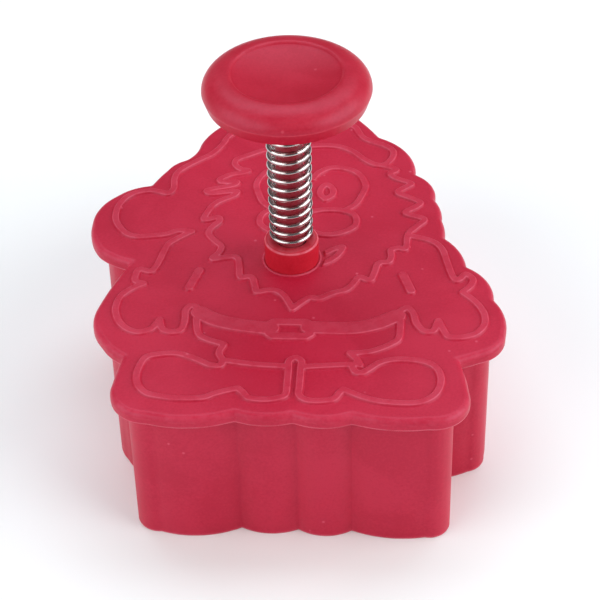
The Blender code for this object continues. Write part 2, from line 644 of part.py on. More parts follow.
def make_stamp_plate(axis, finish):
    """Tray that fills the cutting wall, with ridges below and a boss above for the stem."""
    stamp = flat_solid("stamp_plate", [STAMP_LOOP], STAMP_UNDER, STAMP_UNDER + STAMP_HEIGHT, parts)
    pocket = flat_solid("stamp_pocket", [STAMP_POCKET], STAMP_FLOOR, STAMP_UNDER + 2 * STAMP_HEIGHT)
    boss = turned("stamp_boss", [
        (0, STOP), (STAMP_BOSS_RADIUS, STOP), (STAMP_BOSS_RADIUS, STAMP_FLOOR - STAMP_FACE / 2),
        (0, STAMP_FLOOR - STAMP_FACE / 2)], cutters)
    socket = turned("stem_socket", [
        (0, STOP + FIT), (SOCKET_RADIUS, STOP + FIT), (SOCKET_RADIUS, STAMP_FLOOR), (0, STAMP_FLOOR)],
        cutters)
    ridges = flat_solid(
        "stamp_ridges", band_outlines(relief_lines(RIDGE_WIDTH), STAMP_LOOP, RIDGE_MARGIN),
        STAMP_UNDER - RIDGE_HEIGHT, STAMP_UNDER + RIDGE_HEIGHT)
    joined(stamp, pocket, "DIFFERENCE")
    joined(stamp, boss, "UNION")
    joined(stamp, socket, "DIFFERENCE")
    joined(stamp, ridges, "UNION")
    paint(stamp, finish)
    hang(stamp, axis)


def hang(thing, axis):
    """Parents a piece to the plunger's axis and leaves it where it is."""
    thing.parent = axis
    thing.matrix_parent_inverse = axis.matrix_world.inverted()


def make_plunger_axis():
    axis = bpy.data.objects.new("plunger_axis", None)
    axis.location = (*STEM_XY, COLLAR_TOP)
    parts.objects.link(axis)
    bpy.context.view_layer.update()
    return axis


red = material("red_moulding", (0.49, 0.035, 0.075), 0.45)
collar_red = material("red_collar", (0.45, 0.025, 0.05), 0.45)
knob_red = material("red_knob", (0.5, 0.04, 0.08), 0.42)
stem_red = material("red_stem", (0.4, 0.02, 0.045), 0.45)
stamp_red = material("red_stamp", (0.47, 0.032, 0.07), 0.5)
steel = material("spring_steel", (0.72, 0.7, 0.68), 0.2, 1.0)

plunger_axis = make_plunger_axis()
make_cutter_body(red)
make_guide_collar(collar_red)
make_return_spring(steel)
make_plunger_stem(plunger_axis, stem_red)
make_press_knob(plunger_axis, knob_red)
make_stamp_plate(plunger_axis, stamp_red)

for thing in parts.objects:
    if thing.type == "MESH":
        thing.data.shade_smooth()
        thing.data.set_sharp_from_angle(angle=SHARP_ANGLE)
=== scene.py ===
"""Looks of a spring-plunger biscuit cutter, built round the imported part.

Metres, +Z up. The figure's drawing is in millimetres, seen from above and measured from the stem's
axis. Plans and heights stay in millimetres until a mesh is made from them.
"""

import math

import bmesh
import bpy
import numpy as np
from mathutils import Matrix, Vector
from mathutils.geometry import delaunay_2d_cdt


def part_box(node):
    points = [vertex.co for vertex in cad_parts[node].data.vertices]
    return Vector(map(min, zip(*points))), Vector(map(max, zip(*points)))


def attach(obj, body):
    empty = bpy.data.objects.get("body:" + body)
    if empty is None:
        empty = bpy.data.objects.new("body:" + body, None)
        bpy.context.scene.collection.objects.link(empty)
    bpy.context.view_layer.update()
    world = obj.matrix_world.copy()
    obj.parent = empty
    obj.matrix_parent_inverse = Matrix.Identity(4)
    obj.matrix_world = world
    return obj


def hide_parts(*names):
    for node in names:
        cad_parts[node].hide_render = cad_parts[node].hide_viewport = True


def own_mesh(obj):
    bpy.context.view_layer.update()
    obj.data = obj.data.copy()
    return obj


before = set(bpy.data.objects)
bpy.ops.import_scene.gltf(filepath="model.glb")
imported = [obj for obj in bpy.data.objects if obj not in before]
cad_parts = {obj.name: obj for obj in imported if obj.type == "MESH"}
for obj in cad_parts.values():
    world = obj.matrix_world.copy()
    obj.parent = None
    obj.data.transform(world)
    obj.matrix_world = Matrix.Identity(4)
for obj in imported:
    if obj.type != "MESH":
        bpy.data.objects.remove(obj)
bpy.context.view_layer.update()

MM = 0.001

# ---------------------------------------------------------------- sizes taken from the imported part

stem_low, stem_high = (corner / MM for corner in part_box("plunger_stem"))
body_low, body_high = (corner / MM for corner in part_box("cutter_body"))
collar_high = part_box("guide_collar")[1] / MM
spring_low, spring_high = (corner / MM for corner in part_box("return_spring"))
knob_low, knob_high = (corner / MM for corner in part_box("press_knob"))
stamp_low, stamp_high = (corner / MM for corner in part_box("stamp_plate"))

STEM_AXIS = (stem_low + stem_high) / 2
OVERHANG = 2.2
RELIEF = 0.35
WALL = 1.2
PLATE = 2.0
PLATE_TOP = body_high.z - RELIEF
PLATE_UNDER = PLATE_TOP - PLATE
FIGURE_SIZE = np.array([body_high.x - body_low.x, body_high.y - body_low.y]) - 2 * OVERHANG
COLLAR_TOP = collar_high.z
SPRING_REST = spring_high.z - spring_low.z

# ---------------------------------------------------------------- other sizes, in millimetres

BAND = 1.1                 # width of a line of the relief
DASH = 1.4
BELT = 2.7
BUCKLE_FRAME = 1.5
RIM_TOP_ROUND = 0.9
RIM_FOOT_ROUND = 0.35
RIM_GLINT = 0.35             # painted highlight on the flange's rounded edge, beside that on the relief's shoulders
RIM_INSET = 0.02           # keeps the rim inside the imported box
EDGE_ROUND = 0.3           # of the cutting edge
BORE = 3.5
COLLAR = 4.0
WIRE = 0.8
COIL_RADIUS = 2.85         # to the middle of the wire
SEAT = COLLAR + 0.02       # the collar drops into this seat in the plate
SEAT_DEPTH = 0.6
BEAD_FOOT = 4.45           # outer foot of the fine bead round the collar
BEAD_RISE = 0.14
KEEP_OFF = 4.9             # the relief stays this far from the stem's axis
COLLAR_ROUND = 0.32        # of the collar's top edge
COLLAR_NECK = 3.2          # the collar below its seat
COLLAR_MOUTH = 0.25        # how far the socket's mouth flares
STEM = 2.0
STEM_CHAMFER = 0.3

KNOB_FOOT = knob_low.z + 0.5   # the rim's foot; the hub reaches lower
DISH = 7.55                # radius of the dish in the knob's top
DISH_DEPTH = 1.3
DISH_RISE = 0.95           # from the dish's middle to its edge
CREST = 8.1                # radius of the rim's highest circle
CREST_DROP = 2.75          # from the crest to the widest circle
KNOB_RUN = 3.8             # from the crest out to the widest circle
# Share of painted highlight on the knob's rounded rim.
KNOB_GLINT = 0.35
HOLLOW_DEPTH = 1.6         # of the ring-shaped hollow under the knob

STAMP_GAP = 0.5
STAMP_WALL = 1.2
STAMP_FACE = 2.0
STAMP_HEIGHT = 5.0
RIDGE = 0.8
RIDGE_BAND = 0.9
RIDGE_MARGIN = 0.7
BOSS = 4.25
SOCKET = 2.3

GRID = 0.14
LOOP_TOLERANCE = 0.008
TURN_STEPS = 96
WELD = 0.0005

# How the relief rises: distance outside the band's edge, and the share of its full height.
SLOPE = [(0.21, 0.0), (0.15, 0.0), (0.07, 0.16), (-0.01, 0.5), (-0.08, 0.84), (-0.16, 1.0), (-0.22, 1.0)]

# ---------------------------------------------------------------- the drawing

# Corners of the biscuit's outline, clockwise from between the legs: x, y, and how far the edge to
# the next corner bows outwards.
CUT_OUTLINE = [
    (2.1, -31.5, 1.0), (-6.0, -31.4, 1.2), (-17.5, -32.5, 1.5), (-21.0, -28.2, 0.3),
    (-19.7, -21.6, 0.6), (-24.0, -18.0, 0.7), (-25.3, -12.4, 0.1), (-23.3, -5.6, 0.1),
    (-20.6, 0.4, 0.8), (-27.2, 2.9, 0.5), (-28.7, 8.4, 0.75), (-26.4, 14.0, 0.7),
    (-21.4, 16.2, 0.2), (-19.0, 21.5, 0.35), (-17.0, 23.5, -0.6), (-14.2, 29.3, 0.4),
    (-11.2, 34.2, 0.3), (-7.0, 40.6, 1.8), (2.2, 41.2, 0.5), (6.5, 37.0, 0.2),
    (10.8, 30.6, 2.2), (15.6, 20.8, 1.6), (18.7, 15.3, 0.55), (19.9, 10.5, 0.4),
    (20.2, 5.1, 1.1), (23.5, -2.3, 1.5), (27.2, -9.0, 0.8), (28.8, -15.6, 0.75),
    (26.4, -18.9, 0.3), (21.4, -20.6, 0.4), (23.5, -28.6, 1.5), (20.1, -32.5, 0.8), (9.7, -31.5, 1.2),
]

# Centre lines of the relief that run as smooth curves.
SMOOTH_LINES = [
    # left sleeve and mitten
    [(-15.4, 5.9), (-17.4, 4.1), (-18.6, 2.7), (-19.1, 0.8), (-19.4, -0.9), (-19.9, -2.8), (-20.5, -3.9),
     (-22.2, -3.5), (-22.6, -4.75), (-22.5, -6.2), (-21.2, -6.8)],
    [(-21.2, -6.8), (-22.75, -7.9), (-24.2, -9.75), (-24.6, -11.8), (-24.5, -13.5), (-23.75, -15.5),
     (-22.5, -17.0), (-20.75, -17.75), (-19.0, -17.0), (-18.25, -15.5), (-18.0, -14.9)],
    [(-18.0, -14.9), (-17.4, -17.0), (-16.0, -17.6), (-14.75, -17.0), (-14.4, -15.0), (-14.5, -12.9),
     (-13.9, -11.7), (-13.0, -12.0)],
    # pompom
    [(-21.1, 15.9), (-22.7, 16.3), (-24.7, 15.8), (-26.1, 14.7), (-27.0, 13.0), (-27.4, 11.1), (-27.3, 8.8),
     (-26.5, 6.9), (-25.2, 5.2), (-23.6, 4.5), (-21.3, 4.7), (-19.1, 5.2), (-17.4, 6.1), (-15.4, 5.9)],
    # cap
    [(-9.0, 35.5), (-11.9, 31.3), (-12.4, 29.7), (-13.3, 27.7), (-14.4, 26.1), (-16.3, 24.4), (-18.0, 22.7),
     (-19.1, 21.1), (-19.4, 19.1), (-19.25, 16.9), (-20.0, 15.6), (-21.1, 15.9)],
    [(-9.0, 35.5), (-5.6, 38.6), (-1.5, 39.2), (2.8, 37.8), (6.9, 35.2), (8.3, 34.4), (9.4, 31.9),
     (10.8, 30.5),
     (13.0, 29.4), (14.4, 28.0), (14.5, 26.3), (13.8, 24.7), (13.0, 23.8)],
    [(-8.8, 25.8), (-6.0, 27.5), (-2.6, 28.6), (0.8, 28.8), (3.6, 29.1), (6.1, 28.8), (8.3, 27.4),
     (9.9, 25.5),
     (11.6, 24.1), (13.0, 23.8)],
    # boots and legs
    [(-8.3, -23.6), (-8.6, -24.6), (-10.0, -24.5), (-11.75, -23.5), (-14.0, -22.4), (-15.5, -22.2),
     (-17.0, -22.4), (-19.0, -23.1), (-19.75, -25.25), (-19.9, -27.25), (-19.4, -29.1), (-18.25, -30.5),
     (-17.0, -31.0), (-14.0, -31.5), (-10.5, -31.3), (-9.0, -30.5), (-7.25, -29.75), (-5.75, -29.25)],
    [(-5.75, -29.25), (-5.0, -30.1), (-4.25, -31.1), (-3.0, -31.4), (-1.5, -31.4), (0.0, -31.0), (0.8, -30.3),
     (0.9, -28.5), (0.9, -25.0), (0.9, -23.4), (1.75, -22.7), (2.6, -23.4), (2.6, -25.0), (2.6, -28.5),
     (2.6, -30.3), (3.5, -31.25), (5.0, -31.5), (7.25, -31.1), (8.1, -29.75), (8.6, -29.1)],
    [(8.6, -29.1), (9.75, -29.75), (11.75, -30.75), (14.0, -31.4), (17.5, -31.6), (19.5, -31.1),
     (21.0, -29.75), (21.75, -27.75), (21.75, -25.75), (21.0, -24.0), (19.5, -23.0), (17.0, -22.6),
     (15.0, -22.75), (13.25, -23.5), (12.0, -24.75), (11.0, -25.6), (10.1, -25.4), (9.7, -24.6)],
    # right mitten and sleeve
    [(16.2, -12.0), (17.2, -11.4), (18.0, -12.75), (18.4, -14.75), (19.5, -16.4), (20.75, -16.4),
     (21.25, -15.0), (21.5, -14.1)],
    [(21.5, -14.1), (22.25, -16.25), (23.0, -17.6), (25.0, -17.6), (26.75, -16.75), (28.0, -14.75),
     (28.0, -12.5), (27.25, -10.5), (26.25, -9.0), (25.0, -7.6)],
    [(25.0, -7.6), (26.25, -6.0), (26.5, -4.5), (25.5, -3.4), (24.7, -4.5), (24.0, -4.75), (23.4, -3.25),
     (22.7, -0.1), (22.2, 2.2), (21.3, 3.8), (19.7, 4.9), (17.4, 5.6)],
    # coat
    [(-12.8, -14.6), (-12.25, -17.75), (-11.0, -19.0), (-8.4, -20.1)],
    [(16.2, -14.4), (16.0, -18.0), (14.75, -19.5), (12.5, -20.9), (10.5, -21.4), (9.25, -21.5)],
    [(-8.3, -23.5), (-4.0, -24.2), (0.6, -24.5)],
    [(2.9, -24.6), (6.2, -24.2), (10.6, -23.8)],
    # face
    [(2.2, 20.0), (3.0, 21.6), (4.7, 22.9), (6.9, 22.9), (8.8, 21.9), (9.9, 20.2), (10.4, 18.0), (9.9, 15.8),
     (9.1, 13.6), (7.7, 12.0)],
    [(1.7, 20.0), (0.9, 21.6), (-0.8, 22.9), (-3.0, 22.9), (-4.9, 21.9), (-6.0, 20.2), (-6.5, 18.0),
     (-6.0, 15.8), (-5.2, 13.6), (-3.8, 12.0)],
    [(1.95, 11.2), (4.2, 11.9), (7.0, 11.8), (8.9, 10.6), (9.1, 8.0), (6.8, 6.0), (4.1, 5.7), (1.95, 7.0)],
    [(1.95, 11.2), (-0.3, 11.9), (-3.1, 11.8), (-5.0, 10.6), (-5.2, 8.0), (-2.9, 6.0), (-0.2, 5.7),
     (1.95, 7.0)],
    [(3.0, -1.9), (5.0, -1.1), (6.6, 0.5), (7.4, 2.6), (6.0, 2.0), (4.6, 0.9)],
    [(4.3, 14.6), (3.5, 15.8), (3.6, 17.4), (4.4, 18.4), (5.3, 17.4), (5.4, 15.8), (4.3, 14.6)],
    [(-0.4, 14.6), (0.4, 15.8), (0.3, 17.4), (-0.5, 18.4), (-1.4, 17.4), (-1.5, 15.8), (-0.4, 14.6)],
]

# Centre lines of the relief that turn sharply: the beard and the coat's slits.
ANGLED_LINES = [
    [(-8.8, 25.8), (-10.2, 24.9), (-10.4, 23.6), (-9.4, 22.2), (-7.7, 22.0), (-9.1, 21.2), (-10.8, 20.8),
     (-12.5, 19.4), (-12.0, 18.6), (-9.3, 19.0), (-10.0, 17.8), (-14.4, 16.6), (-13.6, 15.5), (-9.1, 16.6),
     (-9.7, 15.2), (-11.9, 13.8), (-13.0, 12.4), (-13.6, 10.5), (-14.1, 8.6), (-11.6, 9.7), (-11.3, 8.6),
     (-12.4, 7.2), (-13.0, 5.5), (-11.9, 3.8), (-10.5, 2.4), (-10.8, 0.8), (-12.1, -1.0), (-9.4, -0.1),
     (-8.0, -0.1), (-7.6, -2.3), (-7.4, -5.3), (-5.6, -4.5), (-5.0, -7.0), (-4.75, -8.5), (-3.0, -7.75),
     (-1.5, -8.0), (-0.5, -9.25), (0.7, -12.0)],
    [(0.7, -12.0), (2.25, -10.0), (3.25, -9.25), (4.25, -9.75), (6.25, -8.25), (8.25, -7.6), (9.25, -6.0),
     (10.0, -4.25), (11.75, -5.4), (12.25, -3.5), (12.7, -0.9), (14.4, -0.9), (14.7, 0.8), (14.4, 2.2),
     (15.8, 2.7), (16.9, 2.2), (16.9, 6.1), (18.3, 8.0), (19.9, 9.9), (17.4, 10.8), (16.3, 11.5),
     (18.3, 13.0), (19.1, 14.1), (17.4, 15.2), (14.9, 16.6), (16.9, 18.3), (17.7, 19.1), (15.2, 20.2),
     (13.8, 21.6), (15.5, 22.7), (13.0, 23.8)],
    [(-8.4, -20.1), (-9.1, -22.0), (-8.3, -23.5)],
    [(9.25, -21.5), (10.25, -22.75), (10.7, -24.0)],
]
DASHES = [[(-13.4, -3.5), (-14.5, -7.5)], [(16.4, -3.75), (17.6, -7.5)]]
BELTS = [
    [(-12.4, -13.2), (-10.0, -14.8), (-6.8, -15.8), (-2.2, -16.5)],
    [(3.4, -16.1), (9.2, -16.1), (12.6, -15.1), (15.6, -13.2)],
]
BUCKLE = [
    (-2.2, -15.5), (-1.6, -15.0), (2.8, -15.0), (3.4, -15.5), (3.4, -17.6), (2.8, -18.1), (-1.6, -18.1),
    (-2.2, -17.6), (-2.2, -15.5)]

# ---------------------------------------------------------------- lines in the plan


def along_arc(start, end, rise, step):
    """Points from start up to but not at end, on an arc that stands rise to the left of the chord."""
    chord = math.dist(start, end)
    ahead = np.subtract(end, start) / chord
    left = np.array([-ahead[1], ahead[0]])
    radius = (chord * chord / 4 + rise * rise) / (2 * abs(rise))
    sweep = 4 * math.atan(2 * abs(rise) / chord)
    count = max(2, round(radius * sweep / step))
    points = []
    for index in range(count):
        angle = sweep * (index / count - 0.5)
        across = radius * (math.cos(angle) - math.cos(sweep / 2)) * math.copysign(1, rise)
        points.append(np.array(start) + ahead * (chord / 2 + radius * math.sin(angle)) + left * across)
    return points


def biscuit_outline(step=0.3):
    points = []
    for index, (x, y, rise) in enumerate(CUT_OUTLINE):
        next_x, next_y, _ = CUT_OUTLINE[(index + 1) % len(CUT_OUTLINE)]
        points += along_arc((x, y), (next_x, next_y), rise, step)
    return np.array(points)


DRAWN = biscuit_outline()
DRAWING_SCALE = FIGURE_SIZE / np.ptp(DRAWN, axis=0)
OUTLINE = DRAWN * DRAWING_SCALE


def smooth_path(points, pieces=7):
    """Points of a Catmull-Rom curve through the given ones."""
    points = np.array(points) * DRAWING_SCALE
    p = np.vstack([2 * points[0] - points[1], points, 2 * points[-1] - points[-2]])
    path = []
    for i in range(1, len(p) - 2):
        for t in np.arange(pieces) / pieces:
            path.append(0.5 * (2 * p[i] + (p[i + 1] - p[i - 1]) * t
                               + (2 * p[i - 1] - 5 * p[i] + 4 * p[i + 1] - p[i + 2]) * t * t
                               + (3 * p[i] - p[i - 1] - 3 * p[i + 1] + p[i + 2]) * t ** 3))
    return np.array(path + [points[-1]])


def straight_path(points):
    return np.array(points) * DRAWING_SCALE


def eased_path(points, passes=2, share=0.22):
    """Straight runs whose corners are cut back, more finely with each pass."""
    path = straight_path(points)
    for _ in range(passes):
        starts, ends = path[:-1], path[1:]
        cut = np.stack([starts + share * (ends - starts), ends - share * (ends - starts)], axis=1)
        path = np.vstack([path[:1], cut.reshape(-1, 2), path[-1:]])
    return path


def relief_paths(width):
    """Each centre line of the relief, with half the width of its band."""
    paths = [(smooth_path(line), width / 2) for line in SMOOTH_LINES]
    paths += [(eased_path(line), width / 2) for line in ANGLED_LINES]
    paths += [(straight_path(line), DASH / 2) for line in DASHES]
    paths += [(smooth_path(line), BELT / 2) for line in BELTS]
    paths.append((straight_path(BUCKLE), BUCKLE_FRAME / 2))
    return paths


# ---------------------------------------------------------------- distances on a grid over the plan

PLAN_MARGIN = OVERHANG + 1.5
XS = np.arange(OUTLINE[:, 0].min() - PLAN_MARGIN, OUTLINE[:, 0].max() + PLAN_MARGIN, GRID)
YS = np.arange(OUTLINE[:, 1].min() - PLAN_MARGIN, OUTLINE[:, 1].max() + PLAN_MARGIN, GRID)


def distance_to(paths, reach):
    """Distance past the edge of the nearest band at each grid point, exact up to reach."""
    field = np.full((len(XS), len(YS)), float(reach))
    for path, half in paths:
        out = reach + half
        for (ax, ay), (bx, by) in zip(path[:-1], path[1:]):
            i0, i1 = np.searchsorted(XS, (min(ax, bx) - out, max(ax, bx) + out))
            j0, j1 = np.searchsorted(YS, (min(ay, by) - out, max(ay, by) + out))
            gx = XS[i0:i1, None] - ax
            gy = YS[None, j0:j1] - ay
            dx = bx - ax
            dy = by - ay
            share = np.clip((gx * dx + gy * dy) / (dx * dx + dy * dy), 0, 1)
            gap = np.hypot(gx - share * dx, gy - share * dy) - half
            field[i0:i1, j0:j1] = np.minimum(field[i0:i1, j0:j1], gap)
    return field


def within(loop):
    """True at each grid point inside a closed loop."""
    result = np.zeros((len(XS), len(YS)), bool)
    for (ax, ay), (bx, by) in zip(loop, np.roll(loop, -1, axis=0)):
        rows = (ay > YS) != (by > YS)
        if rows.any():
            crossing = ax + (YS[rows] - ay) * (bx - ax) / (by - ay)
            result[:, rows] ^= XS[:, None] < crossing[None, :]
    return result


def softened(field, passes):
    for _ in range(passes):
        for axis in (0, 1):
            field = field / 2 + (np.roll(field, 1, axis) + np.roll(field, -1, axis)) / 4
    return field


def zero_loops(field):
    """Loops along which a field is zero. A crossing is named by the grid edge it is on."""
    def crossing(edge):
        (i, j), (k, l) = edge
        share = field[i, j] / (field[i, j] - field[k, l])
        return (XS[i] + (XS[k] - XS[i]) * share, YS[j] + (YS[l] - YS[j]) * share)

    after = {}
    below = field < 0
    mixed = below[:-1, :-1].astype(int) + below[1:, :-1] + below[1:, 1:] + below[:-1, 1:]
    for i, j in np.argwhere((mixed > 0) & (mixed < 4)).tolist():
        corners = [(i, j), (i + 1, j), (i + 1, j + 1), (i, j + 1)]
        entries = []
        exits = []
        for a, b in zip(corners, corners[1:] + corners[:1]):
            edge = (min(a, b), max(a, b))
            if below[a] and not below[b]:
                exits.append(edge)
            if below[b] and not below[a]:
                entries.append(edge)
        if len(exits) == 2 and below[corners[0]]:
            entries.reverse()
        for entry, leave in zip(entries, exits):
            after[leave] = entry
    loops = []
    while after:
        first, edge = after.popitem()
        loop = [crossing(first)]
        while edge != first:
            loop.append(crossing(edge))
            edge = after.pop(edge)
        loops.append(np.array(loop))
    return loops


def thinned(points):
    """A closed loop without the points that lie within tolerance of the line past them."""
    kept = [0, len(points) // 2]
    spans = [(0, len(points) // 2), (len(points) // 2, len(points))]
    ring = np.vstack([points, points[:1]])
    while spans:
        first, last = spans.pop()
        if last - first < 2:
            continue
        stretch = ring[last] - ring[first]
        gap = ring[first + 1:last] - ring[first]
        share = np.clip(gap @ stretch / max(stretch @ stretch, 1e-9), 0, 1)
        off_line = np.linalg.norm(gap - share[:, None] * stretch, axis=1)
        worst = int(off_line.argmax())
        if off_line[worst] > LOOP_TOLERANCE:
            middle = first + 1 + worst
            kept.append(middle)
            spans += [(first, middle), (middle, last)]
    return points[sorted(kept)]


def turned_left(loop):
    """The loop, running so that its inside is on the left."""
    x, y = loop.T
    area = np.dot(x, np.roll(y, -1)) - np.dot(y, np.roll(x, -1))
    return loop if area > 0 else loop[::-1]


def contours(field, level, smallest=0.8):
    shifted = field - level
    shifted[np.abs(shifted) < 1e-4] = 1e-4
    return [turned_left(thinned(loop)) for loop in zero_loops(shifted)
            if np.ptp(loop, axis=0).max() > smallest]


def outer_contour(field, level):
    return max(contours(field, level), key=lambda loop: np.ptp(loop, axis=0).max())


def circle(radius, steps=TURN_STEPS):
    angles = 2 * math.pi * np.arange(steps) / steps
    return np.column_stack([radius * np.cos(angles), radius * np.sin(angles)])


def points_inside(points, loop):
    result = np.zeros(len(points), bool)
    for (ax, ay), (bx, by) in zip(loop, np.roll(loop, -1, axis=0)):
        if ay != by:
            spans = (ay > points[:, 1]) != (by > points[:, 1])
            result ^= spans & (points[:, 0] < ax + (points[:, 1] - ay) * (bx - ax) / (by - ay))
    return result


# ---------------------------------------------------------------- closed shells

class Shell:
    """Points and faces of one closed piece, in millimetres. Loops that two parts share are welded."""

    def __init__(self):
        self.points = []
        self.edge_glint = []
        self.raised = []
        self.faces = []

    def add(self, points, edge_glint, raised, faces):
        first = len(self.points)
        self.points += [tuple(point) for point in points]
        self.edge_glint += list(edge_glint)
        self.raised += list(raised)
        self.faces += [[first + index for index in face] for face in faces]

    def side(self, loop, levels, outwards=True):
        """An upright wall over a loop. Levels are heights with their share of painted edge highlight, from
        the top down.
        """
        count = len(loop)
        points = [(x, y, z) for z, _ in levels for x, y in loop]
        edge_glint = [glint for _, glint in levels for _ in loop]
        faces = []
        for row in range(len(levels) - 1):
            for index in range(count):
                a = row * count + index
                b = row * count + (index + 1) % count
                face = [a, a + count, b + count, b]
                faces.append(face if outwards else face[::-1])
        self.add(points, edge_glint, [0] * len(points), faces)

    def sheet(self, rings, outer, holes=(), upwards=True):
        """Fills a plan between loops. Each ring is a loop with its height, share of painted edge highlight
        and raised share.
        """
        flat = []
        values = []
        edges = []
        for loop, height, glint, raised in rings:
            first = len(flat)
            count = len(loop)
            flat += [Vector(point) for point in loop.tolist()]
            values += [(height, glint, raised)] * count
            edges += [(first + index, first + (index + 1) % count) for index in range(count)]
        plan, _, triangles, sources, _, _ = delaunay_2d_cdt(flat, edges, [], 0, 1e-7, True)
        plan = np.array([tuple(point) for point in plan])
        triangles = np.array(triangles)
        middles = plan[triangles].mean(axis=1)
        kept = points_inside(middles, outer)
        for hole in holes:
            kept &= ~points_inside(middles, hole)
        heights = [values[source[0]] for source in sources]
        points = [(x, y, height) for (x, y), (height, _, _) in zip(plan, heights)]
        faces = triangles[kept] if upwards else triangles[kept][:, ::-1]
        self.add(points, [glint for _, glint, _ in heights],
                 [raised for _, _, raised in heights], faces.tolist())

    def turn(self, profile, steps=TURN_STEPS):
        """Turns a profile of radius, height and share of painted edge highlight, from the inside of the top
        down the outer side.
        """
        rings = [circle(radius, steps) if radius > 0 else np.zeros((1, 2)) for radius, _, _ in profile]
        starts = np.cumsum([0] + [len(ring) for ring in rings]).tolist()
        points = [(x, y, z) for ring, (_, z, _) in zip(rings, profile) for x, y in ring]
        edge_glint = [glint for ring, (_, _, glint) in zip(rings, profile) for _ in ring]
        faces = []
        for row, (upper, lower) in enumerate(zip(rings[:-1], rings[1:])):
            for index in range(steps):
                following = (index + 1) % steps
                a = starts[row] + (index if len(upper) > 1 else 0)
                b = starts[row] + (following if len(upper) > 1 else 0)
                c = starts[row + 1] + (following if len(lower) > 1 else 0)
                d = starts[row + 1] + (index if len(lower) > 1 else 0)
                faces.append(list(dict.fromkeys([a, d, c, b])))
        self.add(points, edge_glint, [0] * len(points), faces)

    def make(self, name, finish, sharp_angle=40.0):
        """The piece as a mesh object at the origin, with its place in its mesh."""
        place = np.array(self.points) + np.array([STEM_AXIS.x, STEM_AXIS.y, 0.0])
        mesh = bpy.data.meshes.new(name)
        mesh.from_pydata((place * MM).tolist(), [], self.faces)
        for label, values in (("edge_glint", self.edge_glint), ("raised", self.raised)):
            layer = mesh.attributes.new(label, "FLOAT", "POINT")
            layer.data.foreach_set("value", np.array(values, np.float32))
        bm = bmesh.new()
        bm.from_mesh(mesh)
        bmesh.ops.remove_doubles(bm, verts=bm.verts, dist=WELD * MM)
        loose = [vert for vert in bm.verts if not vert.link_faces]
        bmesh.ops.delete(bm, geom=loose, context="VERTS")
        bmesh.ops.recalc_face_normals(bm, faces=bm.faces)
        bm.to_mesh(mesh)
        bm.free()
        mesh.shade_smooth()
        mesh.set_sharp_from_angle(angle=math.radians(sharp_angle))
        mesh.materials.append(finish)
        piece = bpy.data.objects.new(name, mesh)
        bpy.context.scene.collection.objects.link(piece)
        return piece


def rounding(radius, height, across, up, steps, start=90.0, end=0.0):
    """Points on an ellipse's edge between two angles, each with its share of painted highlight, strongest
    mid-way round.
    """
    points = []
    for index in range(steps + 1):
        angle = math.radians(start + (end - start) * index / steps)
        points.append((radius + across * math.cos(angle), height + up * math.sin(angle),
                       math.sin(math.pi * index / steps)))
    return points


# ---------------------------------------------------------------- fields of this figure

closed_outline = np.vstack([OUTLINE, OUTLINE[:1]])
edge_field = distance_to([(closed_outline, 0.0)], 5.0) * np.where(within(OUTLINE), -1, 1)
rim_field = softened(edge_field, 8) + RIM_INSET
from_axis = np.hypot(XS[:, None], YS[None, :])
relief_field = np.maximum(softened(distance_to(relief_paths(BAND), 1.6), 1), KEEP_OFF - from_axis)

rim_loops = [(outer_contour(rim_field, OVERHANG - RIM_TOP_ROUND + across),
              PLATE_TOP - RIM_TOP_ROUND + up, glint)
             for across, up, glint in rounding(0, 0, RIM_TOP_ROUND, RIM_TOP_ROUND, 6)]
foot_loops = [(outer_contour(rim_field, OVERHANG - RIM_FOOT_ROUND + across),
               PLATE_UNDER + RIM_FOOT_ROUND - up, glint)
              for across, up, glint in rounding(0, 0, RIM_FOOT_ROUND, RIM_FOOT_ROUND, 3, 0.0, 90.0)]


# ---------------------------------------------------------------- shader groups

def add(tree, kind, values=None, **settings):
    """Adds a node, and sets or links its inputs."""
    node = tree.nodes.new(kind)
    for key, value in settings.items():
        setattr(node, key, value)
    for key, value in (values or {}).items():
        if isinstance(value, bpy.types.NodeSocket):
            tree.links.new(value, node.inputs[key])
        else:
            node.inputs[key].default_value = value
    return node


def calc(tree, operation, *values, clamp=False):
    node = add(tree, "ShaderNodeMath", dict(enumerate(values)), operation=operation, use_clamp=clamp)
    return node.outputs[0]


def new_group(name, kind, inputs, outputs):
    """An empty node group with named sockets: (name, type, value) in and (name, type) out."""
    tree = bpy.data.node_groups.new(name, kind)
    for label, socket_type, value in inputs:
        socket = tree.interface.new_socket(name=label, in_out="INPUT", socket_type=socket_type)
        if value is not None:
            socket.default_value = value
    for label, socket_type in outputs:
        tree.interface.new_socket(name=label, in_out="OUTPUT", socket_type=socket_type)
    return tree, add(tree, "NodeGroupInput").outputs, add(tree, "NodeGroupOutput").inputs


def ramped(tree, value, low, high, to_low=0.0, to_high=1.0):
    return add(tree, "ShaderNodeMapRange", {
        "Value": value, "From Min": low, "From Max": high, "To Min": to_low, "To Max": to_high},
        interpolation_type="SMOOTHSTEP").outputs[0]


